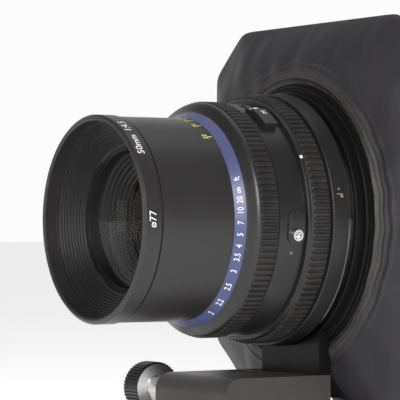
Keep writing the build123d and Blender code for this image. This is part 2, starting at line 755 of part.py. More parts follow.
def back_shell():
    across = (-back_half_width, back_half_width)
    body = block(across, (turntable_rear, back_rear), (-back_half_height, back_half_height))
    body = fillet(body.edges().filter_by(Axis.Y), back_corner_radius)
    inner_x = back_half_width - back_wall
    inner_z = back_half_height - back_wall
    body -= block((-inner_x, inner_x), (turntable_rear + back_wall, back_rear + 1), (-inner_z, inner_z))
    body -= film_window(turntable_rear - 1, turntable_rear + back_wall + 1)
    slot = dark_slide_half_height + sliding
    slide_rear = dark_slide_front + dark_slide_thickness
    body -= block((0, back_half_width + 1), (dark_slide_front - sliding, slide_rear + sliding), (-slot, slot))
    body -= post(winding_shaft_radius + running, spool_x, spool_station, (0, back_half_height + 1))
    pin_end = spool_end - spool_pin_length
    for x, low, high in ((spool_x, -inner_z, -pin_end), (-spool_x, -inner_z, -pin_end),
                         (-spool_x, pin_end, inner_z)):
        body += post(spool_pin_radius, x, spool_station, (low, high))
    arm_front = back_rear - 2 * door_knuckle_radius
    for low, high in ((-back_half_height + 2, -door_knuckle_half - air),
                      (door_knuckle_half + air, back_half_height - 2)):
        arm = block((-door_pin_x, -back_half_width + 1), (arm_front, back_rear - 0.5), (low, high))
        knuckle = post(door_knuckle_radius, -door_pin_x, door_pin_station, (low, high))
        body += arm + knuckle
    pin_half = door_knuckle_half + 1
    return body + post(door_pin_radius, -door_pin_x, door_pin_station, (-pin_half, pin_half))


def film_gate():
    """Gate behind the dark slide; the film's rails stand on its rear face."""
    half_x = back_half_width - back_wall
    half_z = back_half_height - back_wall
    gate_front = dark_slide_front + dark_slide_thickness + air
    rail_foot = film_plane - film_rail_height
    plate = block((-half_x, half_x), (gate_front, rail_foot), (-half_z, half_z))
    for side in (-1, 1):
        low, high = sorted((side * (film_half_height + 1), side * (film_half_height + 5)))
        plate += block((-half_x, half_x), (rail_foot, film_plane), (low, high))
    return plate - film_window(dark_slide_front, film_plane + 1)


def pressure_plate():
    front = film_plane + film_gap
    rear = front + pressure_plate_thickness
    half_x = film_half_width + pressure_plate_margin
    half_z = film_half_height + pressure_plate_margin
    plate = block((-half_x, half_x), (front, rear), (-half_z, half_z))
    for x in (-20, 20):
        plate += block((x - 5, x + 5), (rear, rear + 1.1), (-18, 18))
    return plate


def dark_slide():
    """Sheet-metal slide with a folded pull; it leaves through the side of the back."""
    blade_end = -back_half_width + back_wall + 1
    sheet = block((blade_end, back_half_width + 6), (dark_slide_front, dark_slide_front + dark_slide_thickness),
                  (-dark_slide_half_height, dark_slide_half_height))
    pull = block((back_half_width + air + 1, back_half_width + pull_reach),
                 (dark_slide_front - 1.5, dark_slide_front + 2.5), (-pull_half_height, pull_half_height))
    return sheet + fillet(pull.edges().filter_by(Axis.Y), 2)


def back_door():
    """Rear door, hinged at its far side, with a raised panel."""
    front = back_rear + air
    rear = front + door_thickness
    body = block((-back_half_width + 0.5, back_half_width), (front, rear),
                 (-back_half_height, back_half_height))
    body = fillet(body.edges().filter_by(Axis.Y), back_corner_radius)
    body -= block((back_half_width - latch_inset - 0.5, back_half_width + 1), (front - 1, rear + 1),
                  (-latch_half_height - air, latch_half_height + latch_travel + air))
    panel = block((-34, 34), (rear, rear + 2), (-30, 30))
    body += fillet(panel.edges().filter_by(Axis.Y), 4)
    half = door_knuckle_half
    leaf = block((-door_pin_x, -back_half_width + 4), (front, rear), (-half, half))
    knuckle = post(door_knuckle_radius, -door_pin_x, door_pin_station, (-half, half))
    relief = post(door_knuckle_radius + air, -door_pin_x, door_pin_station, (half, back_half_height + 1))
    hole = post(door_pin_radius + running, -door_pin_x, door_pin_station, (-half - 1, half + 1))
    body -= relief + mirror(relief, Plane.XY)
    return body + leaf + knuckle - hole


def door_latch():
    """Sliding catch on the near side of the back, over the edge of the door."""
    front = back_rear + air
    rear = front + door_thickness
    tall = (-latch_half_height, latch_half_height)
    body = block((back_half_width - latch_inset, back_half_width + air), (front, rear), tall)
    body += block((back_half_width + air, back_half_width + 2.5), (back_rear - 12, rear), tall)
    for ridge in range(4):
        station = back_rear - 10 + 2.4 * ridge
        body += block((back_half_width + 2.4, back_half_width + 3.2), (station, station + 1.2), (-5, 5))
    return body


def spool(x, end_bores):
    half = spool_length / 2
    body = post(spool_core_radius, x, spool_station, (-half, half))
    for z in (-half, half - 1.5):
        body += post(spool_flange_radius, x, spool_station, (z, z + 1.5))
    body -= post(end_bores, x, spool_station, (-half - 1, half + 1))
    return body


def supply_spool():
    return spool(-spool_x, spool_pin_radius + running)


def takeup_spool():
    return spool(spool_x, spool_pin_radius + running)


def winding_knob():
    """Film-advance knob; its shaft and key turn the take-up spool."""
    base = back_half_height + air
    rim = extrude(Plane(origin=(spool_x, spool_station, base)) * make_face(ridged_outline(11.5, 10.9, 40)), 7)
    cap = post(9.5, spool_x, spool_station, (base + 7, base + 8.2))
    shaft = post(winding_shaft_radius, spool_x, spool_station, (spool_end + air, base))
    key = post(spool_pin_radius + running, spool_x, spool_station, (spool_end - 5, spool_end + air))
    return rim + cap + shaft + key


# ---- Tripod clamp and pan head ----
def jaw_section(side, front, rear, gap):
    """Space beside the rail's foot that a jaw fills, on one side of the rail."""
    foot = rail_bottom + rail_foot_height
    outline = Polyline((side * (rail_foot_half_width + gap), rail_bottom),
                       (side * (rail_web_half_width + gap), foot),
                       (side * clamp_half_width, foot), (side * clamp_half_width, rail_bottom), close=True)
    section = Plane(origin=(0, front, 0), x_dir=(1, 0, 0), z_dir=(0, -1, 0))
    return extrude(section * make_face(outline), rear - front, dir=(0, 1, 0))


def rail_clamp():
    """Clamp body on the pan table: floor, fixed jaw, and the guide of the moving jaw."""
    front = pan_station - clamp_length / 2
    rear = pan_station + clamp_length / 2
    top = rail_bottom - sliding
    table = post(pan_neck_radius, 0, pan_station, (clamp_bottom, clamp_bottom + 5))
    floor = block((-clamp_half_width, clamp_half_width), (front, rear), (top - clamp_floor, top))
    body = fillet(floor.edges().filter_by(Axis.Z), 3) + table
    body += jaw_section(-1, front + 3, rear - 3, sliding) + block(
        (-clamp_half_width, -rail_foot_half_width - sliding), (front + 3, rear - 3),
        (top - 1, rail_bottom + 0.01))
    body -= block((jaw_inner, clamp_half_width + 1), (jaw_front - sliding, jaw_rear + sliding),
                  (jaw_floor, top + 1))
    body -= rod(clamp_screw_radius + running, (-6, clamp_half_width + 1), pan_station, clamp_screw_height)
    body -= post(pan_pivot_radius + running, 0, pan_station, (clamp_bottom - 1, clamp_bottom + 7))
    return body


def clamp_jaw():
    """Moving jaw, drawn in by the clamp screw."""
    grip = jaw_section(1, jaw_front, jaw_rear, sliding)
    foot = block((jaw_inner + air, clamp_half_width), (jaw_front, jaw_rear),
                 (jaw_floor + sliding, rail_bottom - sliding))
    step = block((rail_foot_half_width + sliding, clamp_half_width), (jaw_front, jaw_rear), (
        rail_bottom - sliding - 0.01, rail_bottom + 0.01))
    return grip + foot + step - rod(clamp_screw_radius + running, (jaw_inner - 1, clamp_half_width + 1),
                                    pan_station, clamp_screw_height)


def clamp_knob():
    """Three-lobed knob on the clamp screw."""
    start = clamp_half_width + jaw_travel + air
    lobes = Circle(clamp_lobe_ring)
    for lobe in range(3):
        angle = math.radians(90 + 120 * lobe)
        spot = Pos(clamp_lobe_ring * math.cos(angle), clamp_lobe_ring * math.sin(angle))
        lobes += spot * Circle(clamp_lobe_radius)
    lobes = fillet(lobes.vertices(), 1.6)
    face = Plane(origin=(start + 3, pan_station, clamp_screw_height), x_dir=(0, 1, 0), z_dir=(1, 0, 0))
    grip = extrude(face * lobes, 9)
    grip = chamfer(grip.faces().sort_by(Axis.X)[-1].edges(), 1)
    hub = rod(clamp_lobe_ring, (start, start + 3), pan_station, clamp_screw_height)
    return grip + hub + rod(clamp_screw_radius, (-5, start), pan_station, clamp_screw_height)


def pan_base():
    """Base that screws on a tripod; the clamp turns on its pivot."""
    bottom = -axis_height
    top = bottom + pan_base_height
    edge = 1.5
    profile = Polyline((0, bottom), (pan_base_radius - edge, bottom), (pan_base_radius, bottom + edge),
                       (pan_base_radius, top - 5), (pan_neck_radius + 1, top), (pan_pivot_radius, top),
                       (pan_pivot_radius, top + 5.5), (0, top + 5.5), close=True)
    meridian = Plane(origin=(0, pan_station, 0), x_dir=(1, 0, 0), z_dir=(0, -1, 0))
    body = revolve(meridian * make_face(profile), Axis((0, pan_station, 0), (0, 0, 1)))
    body -= post(tripod_thread_radius, 0, pan_station, (bottom - 1, bottom + tripod_thread_depth))
    boss = rod(6.5, (-pan_base_radius - 3, -pan_base_radius + 6), pan_station, pan_knob_height)
    body += boss
    return body - rod(clamp_screw_radius + running, (-pan_base_radius - 5, -pan_pivot_radius - 4),
                      pan_station, pan_knob_height)


def pan_knob():
    """Ribbed knob that locks the pan axis."""
    start = -pan_base_radius - 3 - air
    face = Plane(origin=(start - 8, pan_station, pan_knob_height), x_dir=(0, 1, 0), z_dir=(1, 0, 0))
    grip = extrude(face * make_face(ridged_outline(6.6, 6.0, 20)), 8)
    return grip + rod(clamp_screw_radius, (start, -pan_pivot_radius - 5), pan_station, pan_knob_height)


# ---- Sizes that follow from the driving dimensions ----
distance_front = front_barrel_rear + 0.2
distance_bore_radius = front_barrel_radius - 1.9
scale_band_inner_radius = distance_bore_radius + 0.9
front_glass_edge = 3.5
floating_front = 27.0
floating_rear = 43.0
second_glass_edge = 4.0
core_flange_radius = cell_bore_radius
shutter_inner_radius = shutter_radius - 1.8
lever_stem_front = (lever_front + lever_rear) / 2 - 0.9
lever_stem_rear = (lever_front + lever_rear) / 2 + 0.9
socket_radius = 2.2
aperture_bore_radius = collar_radius - 3.0
rear_glass_rear = 101.0
rear_glass_edge = 4.0
bayonet_radius = 41.0
tab_height = 1.8
tab_front = 88.2
bayonet_rear = 89.6
mount_step = standard_rear - 2.4
screw_places = ((-8.0, rail_top + sliding), (21.6, block_bottom))
standard_screw_radius = 1.5
screw_head_radius = 3.0
screw_head_height = 2.0
standard_screw_station = (standard_front + standard_rear) / 2
standard_screw_top = block_top + 5
pitch_radius = gear_module * pinion_teeth / 2
pressure_angle = 20.0
base_radius = pitch_radius * math.cos(math.radians(pressure_angle))
tip_radius = pitch_radius + 0.7 * gear_module
root_radius = pitch_radius - 1.1 * gear_module
tooth_share = 0.44
shaft_station = block_front + block_nose_radius
shaft_height = block_top - block_nose_radius
bearing_radius = tip_radius + 0.6
pitch_height = shaft_height - pitch_radius
rack_addendum = 0.5
rack_dedendum = 0.8
rack_tip = pitch_height + rack_addendum
rack_bottom = rail_top - 2.5
rack_half_width = pinion_width / 2
rack_front = rail_front + 2
rack_teeth = 20
knob_face = -block_half_width - hub_length
knob_end = knob_face - knob_length
dial_radius = knob_radius - 0.8
dial_recess = 1.2
dial_height = 1.2
rail_waist = block_bottom
spool_end = spool_length / 2
winding_shaft_radius = 4.0
door_pin_x = back_half_width + door_knuckle_radius + 0.4
door_pin_station = back_rear + 0.2
pan_top = -axis_height + pan_base_height
clamp_bottom = pan_top + air
jaw_front = pan_station - 14.0
jaw_rear = pan_station + 14.0
jaw_inner = rail_web_half_width - 2
jaw_floor = rail_bottom - 8.0
clamp_screw_height = rail_bottom - 4.2
pan_knob_height = -axis_height + 6.5

parts = {
    "filter_ring": filter_ring(),
    "baffle_ring": baffle_ring(),
    "front_barrel": front_barrel(),
    "front_cell": front_cell(),
    "front_element": front_element(),
    "floating_cell": floating_cell(),
    "second_element": second_element(),
    "distance_ring": distance_ring(),
    "scale_band": scale_band(),
    "distance_grip": distance_grip(),
    "shutter_barrel": shutter_barrel(),
    "shutter_plate": shutter_plate(),
    "shutter_lever": shutter_lever(),
    "sync_plate": sync_plate(),
    "sync_terminal": sync_terminal(),
    "aperture_ring": aperture_ring(),
    "aperture_grip": aperture_grip(),
    "rear_barrel": rear_barrel(),
    "rear_cell": rear_cell(),
    "rear_element": rear_element(),
    "lens_flange": lens_flange(),
    "bayonet_ring": bayonet_ring(),
    "lens_standard": lens_standard(),
    "standard_screws": standard_screws(),
    "bellows_ring": bellows_ring(),
    "front_block": front_block(),
    "focus_bearing": focus_bearing(),
    "focus_knob": focus_knob(),
    "knob_dial": knob_dial(),
    "focus_pinion": focus_pinion(),
    "focus_rack": focus_rack(),
    "rail": rail(),
    "bellows": bellows(),
    "rear_block": rear_block(),
    "rear_frame": rear_frame(),
    "back_adapter": back_adapter(),
    "back_shell": back_shell(),
    "film_gate": film_gate(),
    "pressure_plate": pressure_plate(),
    "dark_slide": dark_slide(),
    "back_door": back_door(),
    "door_latch": door_latch(),
    "supply_spool": supply_spool(),
    "takeup_spool": takeup_spool(),
    "winding_knob": winding_knob(),
    "rail_clamp": rail_clamp(),
    "clamp_jaw": clamp_jaw(),
    "clamp_knob": clamp_knob(),
    "pan_base": pan_base(),
    "pan_knob": pan_knob(),
}
for number in range(blade_count):
    parts[f"shutter_leaf_{number + 1}"] = shutter_leaf(number)
    parts[f"iris_blade_{number + 1}"] = iris_blade(number)

os.makedirs("parts", exist_ok=True)
to_row_frame = Pos(0, -pan_station, axis_height)
for node, shape in parts.items():
    export_step(to_row_frame * shape, f"parts/{node}.step")
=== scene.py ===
import bpy
import math
from mathutils import Matrix, Vector, noise


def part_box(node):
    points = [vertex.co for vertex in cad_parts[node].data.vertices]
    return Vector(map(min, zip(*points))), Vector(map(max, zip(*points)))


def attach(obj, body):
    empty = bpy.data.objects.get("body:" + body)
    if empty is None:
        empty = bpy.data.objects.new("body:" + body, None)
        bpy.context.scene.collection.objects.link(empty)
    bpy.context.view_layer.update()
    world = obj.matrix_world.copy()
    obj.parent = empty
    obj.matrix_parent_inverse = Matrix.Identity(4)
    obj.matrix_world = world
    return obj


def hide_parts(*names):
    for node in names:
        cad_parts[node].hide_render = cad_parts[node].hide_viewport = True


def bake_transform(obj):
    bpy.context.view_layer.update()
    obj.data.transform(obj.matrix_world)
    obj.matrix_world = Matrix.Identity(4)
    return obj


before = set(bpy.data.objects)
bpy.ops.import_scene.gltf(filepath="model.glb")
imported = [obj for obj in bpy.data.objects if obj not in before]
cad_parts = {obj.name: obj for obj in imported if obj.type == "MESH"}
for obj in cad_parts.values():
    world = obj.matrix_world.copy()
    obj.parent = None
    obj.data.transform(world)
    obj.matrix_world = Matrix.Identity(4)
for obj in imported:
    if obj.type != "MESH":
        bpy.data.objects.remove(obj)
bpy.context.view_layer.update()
mm = 0.001

# the lens axis and the zero of the stations along it, from the frame
rimLow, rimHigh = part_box("filter_ring")
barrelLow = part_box("front_barrel")[0]
axisHeight = (rimLow.z + rimHigh.z) / 2
barrelStation = 6.5 * mm  # from the rim to the front end of the barrel
stationZero = barrelLow.y - barrelStation
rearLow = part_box("rear_frame")[0]


def onLens(angle, station, radius):
    # point at an angle up from +X about the lens axis; station and radius in metres
    turn = math.radians(angle)
    return Vector((radius * math.cos(turn), stationZero + station, axisHeight + radius * math.sin(turn)))


# materials
class Wire:
    # one socket of a material, so that shader maths reads as maths
    def __init__(self, finish, socket):
        self.finish = finish
        self.socket = socket

    def combine(self, operation, first, second):
        return self.finish.node("ShaderNodeMath", {"operation": operation}, [first, second])

    def __add__(self, other): return self.combine("ADD", self, other)
    def __radd__(self, other): return self.combine("ADD", other, self)
    def __sub__(self, other): return self.combine("SUBTRACT", self, other)
    def __rsub__(self, other): return self.combine("SUBTRACT", other, self)
    def __mul__(self, other): return self.combine("MULTIPLY", self, other)
    def __rmul__(self, other): return self.combine("MULTIPLY", other, self)


class Finish:
    def __init__(self, name, **constants):
        self.material = bpy.data.materials.new(name)
        self.material.use_nodes = True
        self.tree = self.material.node_tree
        self.shader = self.tree.nodes["Principled BSDF"]
        self.wear(**constants)

    def node(self, kind, settings=None, inputs=(), output=0):
        made = self.tree.nodes.new(kind)
        for key, value in (settings or {}).items():
            if key == "stops":
                ramp = made.color_ramp
                while len(ramp.elements) < len(value):
                    ramp.elements.new(0.5)
                for element, (position, colour) in zip(ramp.elements, value):
                    element.position = position
                    element.color = (*colour, 1) if len(colour) == 3 else colour
            else:
                setattr(made, key, value)
        pairs = inputs.items() if isinstance(inputs, dict) else enumerate(inputs)
        for key, value in pairs:
            self.feed(made.inputs[key], value)
        return Wire(self, made.outputs[output])

    def feed(self, socket, value):
        if isinstance(value, Wire):
            self.tree.links.new(value.socket, socket)
        elif isinstance(value, tuple) and len(value) == 3 and socket.type == "RGBA":
            socket.default_value = (*value, 1)
        else:
            socket.default_value = value

    def wear(self, **sockets):
        for key, value in sockets.items():
            self.feed(self.shader.inputs[key.replace("_", " ")], value)

    def place(self, scale=(1, 1, 1)):
        where = self.node("ShaderNodeTexCoord", output="Object")
        return self.node("ShaderNodeMapping", {}, {"Vector": where, "Scale": scale})

    def noise(self, scale, detail=4.0, rough=0.55, stretch=(1, 1, 1)):
        return self.node("ShaderNodeTexNoise", {}, {"Vector": self.place(stretch), "Scale": scale,
                                                    "Detail": detail, "Roughness": rough})

    def ramp(self, factor, low, high, dark, light):
        return self.node("ShaderNodeValToRGB", {"stops": [(low, dark), (high, light)]}, [factor])

    def blendColour(self, factor, first, second):
        return self.node("ShaderNodeMix", {"data_type": "RGBA"}, {0: factor, 6: first, 7: second}, 2)

    def bump(self, height, strength, distance):
        self.wear(Normal=self.node("ShaderNodeBump", {}, {"Height": height, "Strength": strength,
                                                         "Distance": distance}))


def anodised(name, colour, roughness, grain=0.12, dust=0.3, shine=0.5):
    # satin anodised metal: fine blasted grain, faint handling marks, a little dust
    made = Finish(name, Specular_IOR_Level=shine)
    cloud = made.noise(90, 5)
    speck = made.noise(2600, 2, 0.7)
    scuff = made.noise(420, 6, 0.7, (1, 0.25, 1))
    dusty = made.ramp(speck, 0.66, 0.80, (0, 0, 0), (1, 1, 1))
    worn = made.ramp(scuff, 0.56, 0.74, (0, 0, 0), (1, 1, 1))
    base = made.blendColour(cloud, tuple(part * 0.82 for part in colour), tuple(part * 1.2 for part in colour))
    base = made.blendColour(dusty * dust, base, tuple(min(1, part * 2.4 + 0.02) for part in colour))
    made.wear(Base_Color=base, Roughness=roughness + 0.10 * (cloud - 0.5) - 0.07 * worn)
    made.bump(speck, grain, 0.02 * mm)
    return made


def rubber():
    made = Finish("grip rubber", Specular_IOR_Level=0.35)
    grain = made.noise(1800, 3, 0.6)
    bloom = made.noise(120, 4)
    made.wear(Base_Color=made.ramp(bloom, 0.3, 0.75, (0.012, 0.0112, 0.011), (0.030, 0.028, 0.027)),
              Roughness=0.44 + 0.16 * bloom)
    made.bump(grain, 0.25, 0.04 * mm)
    return made


def turnedMetal(name, colour, roughness, rings=5200):
    # bright turned metal: fine tool lines round the axis and a few scratches
    made = Finish(name, Metallic=1.0)
    lines = made.noise(rings, 2, 0.6, (0.02, 1, 0.02))
    patch = made.noise(150, 4)
    scratch = made.ramp(made.noise(900, 3, 0.8, (0.08, 1, 1)), 0.60, 0.66, (0, 0, 0), (1, 1, 1))
    made.wear(Base_Color=made.blendColour(patch, tuple(part * 0.86 for part in colour), colour),
              Roughness=roughness + 0.16 * (lines - 0.5) + 0.12 * scratch)
    made.bump(lines, 0.10, 0.01 * mm)
    return made


def leatherFinish():
    # smooth bellows leather: pebble grain, tight pores, creases and brown scuffs where it folds
    made = Finish("bag leather", Specular_IOR_Level=0.42)
    where = made.place()
    pebble = made.node("ShaderNodeTexVoronoi", {"feature": "F1"}, {"Vector": where, "Scale": 1500.0})
    pores = made.noise(3800, 2, 0.7)
    mottle = made.noise(38, 6, 0.62)
    blotch = made.noise(13, 4, 0.6)
    folds = made.noise(46, 5, 0.62, (1, 1, 0.32))
    crease = made.ramp(folds, 0.47, 0.53, (0, 0, 0), (1, 1, 1))
    worn = made.node("ShaderNodeAttribute", {"attribute_name": "worn"}, (), "Fac")
    fine = made.noise(240, 6, 0.75)
    speckle = made.noise(900, 4, 0.8)
    scuff = made.ramp(fine * 0.5 + speckle * 0.5 + worn * 0.25, 0.60, 0.84, (0, 0, 0), (1, 1, 1))
    base = made.ramp(mottle, 0.25, 0.80, (0.0115, 0.0108, 0.0126), (0.0215, 0.020, 0.023))
    base = made.blendColour(0.35 * blotch, base, (0.034, 0.031, 0.034))
    base = made.blendColour(0.34 * scuff, base, (0.090, 0.066, 0.054))
    made.wear(Base_Color=base, Roughness=0.50 + 0.16 * (mottle - 0.5) + 0.16 * scuff)
    made.bump(0.55 * pebble + 0.35 * pores + 0.9 * crease + 1.2 * folds, 0.28, 0.22 * mm)
    return made


def coatedGlass(name, tint, reflection, bending, coating=0.0):
    # clear glass; a low index of refraction stands in for the coating's weak reflection
    made = Finish(name, Transmission_Weight=1.0, IOR=bending, Base_Color=tint,
                  Specular_Tint=(*reflection, 1))
    smear = made.noise(60, 4)
    made.wear(Base_Color=made.blendColour(smear, tuple(part * 0.9 for part in tint), tint), Roughness=0.0)
    if coating:
        # a share of mirror in the coating's colour
        colour = made.blendColour(smear, reflection, (0.9, 0.6, 0.3))
        film = made.node("ShaderNodeBsdfPrincipled", {}, {"Base Color": colour, "Metallic": 1.0, "Roughness": 0.02})
        glass = Wire(made, made.shader.outputs[0])
        layered = made.node("ShaderNodeMixShader", {}, {0: coating * (0.8 + 0.4 * smear), 1: glass, 2: film})
        made.tree.links.new(layered.socket, made.tree.nodes["Material Output"].inputs["Surface"])
    return made


def cracklePaint():
    made = Finish("crackle paint", Specular_IOR_Level=0.5)
    cell = made.node("ShaderNodeTexVoronoi", {"feature": "F1"}, {"Vector": made.place(), "Scale": 900.0})
    cloud = made.noise(70, 4)
    made.wear(Base_Color=made.ramp(cloud, 0.3, 0.7, (0.022, 0.022, 0.023), (0.036, 0.035, 0.036)),
              Roughness=0.42 + 0.2 * cloud)
    made.bump(cell, 0.5, 0.12 * mm)
    return made


def plastic(name, colour, roughness):
    made = Finish(name, Specular_IOR_Level=0.5)
    cloud = made.noise(140, 4)
    made.wear(Base_Color=made.blendColour(cloud, tuple(part * 0.8 for part in colour), colour),
              Roughness=roughness + 0.1 * cloud)
    made.bump(made.noise(1500, 2), 0.15, 0.03 * mm)
    return made


def enamel(name, colour):
    # paint wiped into an engraving, its tone patchy
    made = Finish(name, Specular_IOR_Level=0.4)
    patch = made.noise(1400, 3)
    made.wear(Base_Color=made.blendColour(patch, tuple(part * 0.82 for part in colour), colour),
              Roughness=0.42 + 0.2 * patch)
    return made


finishes = {
    "barrel": anodised("barrel black", (0.018, 0.0165, 0.0168), 0.40, 0.10, 0.12),
    "ring": anodised("ring black", (0.012, 0.0112, 0.0115), 0.36, 0.10, 0.10),
    "collar": anodised("collar black", (0.015, 0.014, 0.0145), 0.34, 0.10, 0.10),
    "carriage": anodised("carriage grey", (0.044, 0.040, 0.039), 0.44, 0.2, 0.08, 0.35),
    "upright": anodised("standard black", (0.005, 0.0048, 0.0048), 0.34, 0.2, 0.05, 0.12),
    "blue": anodised("band blue", (0.050, 0.060, 0.150), 0.38, 0.10, 0.06),
    "inner": anodised("inner matt black", (0.007, 0.0066, 0.0072), 0.55, 0.10, 0.05),
    "mask": anodised("glass mask black", (0.007, 0.0066, 0.0072), 0.55, 0.02, 0.0),
    "rail": anodised("rail black", (0.020, 0.020, 0.021), 0.42, 0.2, 0.1),
    "rubber": rubber(),
    # the flange's metal colour is kept very dark: painted shade standing in for the dark room that the polished
    # chrome reflects
    "chrome": turnedMetal("bright flange", (0.11, 0.11, 0.107), 0.14),
    "steel": turnedMetal("brushed steel", (0.66, 0.65, 0.63), 0.28),
    "dark steel": turnedMetal("blackened steel", (0.10, 0.10, 0.11), 0.36),
    "dial": turnedMetal("satin dial", (0.88, 0.88, 0.87), 0.34),
    "brass": turnedMetal("rack brass", (0.62, 0.47, 0.22), 0.30),
    "leather": leatherFinish(),
    "front glass": coatedGlass("front glass", (0.97, 0.97, 0.96), (0.85, 0.90, 1.0), 1.11),
    "inner glass": coatedGlass("inner glass", (0.95, 0.92, 0.88), (0.85, 0.36, 0.16), 1.25, 0.12),
    "crackle": cracklePaint(),
    "spool": plastic("spool plastic", (0.045, 0.045, 0.048), 0.40),
    "knob": plastic("knob plastic", (0.026, 0.026, 0.027), 0.36),
    "white": enamel("white enamel", (0.86, 0.86, 0.84)),
    "yellow": enamel("yellow enamel", (0.84, 0.78, 0.22)),
    "bronze": enamel("bronze enamel", (0.30, 0.25, 0.22)),
    "thread": plastic("waxed thread", (0.028, 0.026, 0.028), 0.55),
}

nodeFinish = {
    "barrel": ["filter_ring", "front_barrel"],
    "ring": ["distance_ring", "shutter_barrel", "rear_barrel",
             "bellows_ring", "focus_knob", "winding_knob"],
    "collar": ["aperture_ring", "shutter_lever", "sync_plate"],
    "carriage": ["front_block", "rear_block"],
    "upright": ["lens_standard", "rear_frame", "back_adapter"],
    "blue": ["scale_band"],
    "inner": ["baffle_ring", "front_cell", "floating_cell", "shutter_plate", "rear_cell", "film_gate"],
    "rail": ["rail", "rail_clamp", "clamp_jaw", "pan_base"],
    "rubber": ["distance_grip", "aperture_grip"],
    "chrome": ["lens_flange"],
    "steel": ["sync_terminal", "bayonet_ring", "focus_bearing", "focus_pinion", "dark_slide", "door_latch"],
    "dark steel": ["standard_screws", "pressure_plate"] + [f"shutter_leaf_{n}" for n in range(1, 6)]
                  + [f"iris_blade_{n}" for n in range(1, 6)],
    "dial": ["knob_dial"],
    "brass": ["focus_rack"],
    "leather": ["bellows"],
    "front glass": ["front_element"],
    "inner glass": ["second_element", "rear_element"],
    "crackle": ["back_shell", "back_door"],
    "spool": ["supply_spool", "takeup_spool"],
    "knob": ["clamp_knob", "pan_knob"],
}


def dress(shape, finish):
    shape.data.materials.clear()
    shape.data.materials.append(finishes[finish].material)


for finish, names in nodeFinish.items():
    for name in names:
        dress(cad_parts[name], finish)
print("finishes made:", len(finishes))

# modelling tools
def pick(shape):
    bpy.ops.object.select_all(action="DESELECT")
    shape.select_set(True)
    bpy.context.view_layer.objects.active = shape


def applyAll(shape):
    pick(shape)
    for modifier in list(shape.modifiers):
        bpy.ops.object.modifier_apply(modifier=modifier.name)


def joinShapes(shapes, name):
    pick(shapes[0])
    for shape in shapes:
        shape.select_set(True)
    if len(shapes) > 1:
        bpy.ops.object.join()
    made = bpy.context.view_layer.objects.active
    made.name = name
    return made


def turnedShape(name, profile, segments, closed=False):
    # a circle drawn out ring by ring along the lens axis; profile holds (station, radius)
    bpy.ops.object.select_all(action="DESELECT")
    station, radius = profile[0]
    centre = (0, stationZero + station, axisHeight)
    bpy.ops.mesh.primitive_circle_add(vertices=segments, radius=radius, location=centre,
                                      rotation=(math.pi / 2, 0, 0))
    bpy.ops.object.transform_apply(location=True, rotation=True)
    shape = bpy.context.object
    shape.name = name
    bpy.ops.object.mode_set(mode="EDIT")
    bpy.ops.mesh.select_all(action="SELECT")
    for nextStation, nextRadius in profile[1:] + ([profile[0]] if closed else []):
        bpy.ops.mesh.extrude_region_move(TRANSFORM_OT_translate={"value": (0, nextStation - station, 0)})
        bpy.ops.transform.resize(value=(nextRadius / radius, 1, nextRadius / radius),
                                 center_override=(0, stationZero + nextStation, axisHeight))
        station, radius = nextStation, nextRadius
    bpy.ops.mesh.select_all(action="SELECT")
    bpy.ops.mesh.remove_doubles(threshold=0.002 * mm)
    bpy.ops.mesh.normals_make_consistent(inside=False)
    bpy.ops.object.mode_set(mode="OBJECT")
    return shape


# bag bellows
bagSizes = {
    "around": 288,
    "frontRows": 64,
    "neckRadius": 55.2 * mm,
    "neckStation": 92.6 * mm,
    "seamStation": 104.0 * mm,
    "rearSeam": 147.0 * mm,
    "rearNeck": 48.0 * mm,
    "halfWidth": 76.0 * mm,
    "halfHeight": 80.0 * mm,
    "cornerWidth": 21.0 * mm,
    "cornerHeight": 18.0 * mm,
    "seamAllowance": 3.6 * mm,
    "leather": 1.1 * mm,
    "notchHalf": 23.0 * mm,
    "notchTop": -71.5 * mm,
    "notchEase": 11 * mm,
    "stitchStep": 3.1 * mm,
    "ridges": ((57.6 * mm, 0.5 * mm, 0.5 * mm), (59.4 * mm, 0.45 * mm, 0.35 * mm),
               (61.3 * mm, 0.6 * mm, 0.4 * mm), (64.2 * mm, 0.9 * mm, 0.35 * mm)),
}


def easeStep(value):
    value = min(1.0, max(0.0, value))
    return value * value * (3 - 2 * value)


def octagonReach(angle, inset=0.0):
    # distance from the lens axis to the seam's outline in a direction, corners softened
    sizes = bagSizes
    across, up = math.cos(angle), math.sin(angle)
    halfWidth, halfHeight = sizes["halfWidth"] - inset, sizes["halfHeight"] - inset
    cutX, cutZ = sizes["cornerWidth"], sizes["cornerHeight"]
    flats = [abs(across) / halfWidth, abs(up) / halfHeight]
    # each cut corner is a line from (halfWidth, halfHeight - cutZ) to (halfWidth - cutX, halfHeight)
    normal = (cutZ, cutX)
    offset = normal[0] * halfWidth + normal[1] * (halfHeight - cutZ)
    pull = 1.0 + 0.10 * (across < 0) * (up < 0) * abs(math.sin(2 * angle)) ** 1.5
    flats.append((normal[0] * abs(across) + normal[1] * abs(up)) / offset * pull)
    sharp = 80
    reach = sum(flat ** sharp for flat in flats) ** (-1 / sharp)
    # the bag lifts over the rail in the middle of its bottom
    for _ in range(3):
        x = reach * across
        lift = easeStep((sizes["notchHalf"] + sizes["notchEase"] - abs(x)) / sizes["notchEase"])
        floor = -halfHeight + lift * (halfHeight + sizes["notchTop"] + inset)
        if up < 0 and reach * up < floor:
            reach = floor / up
    return reach


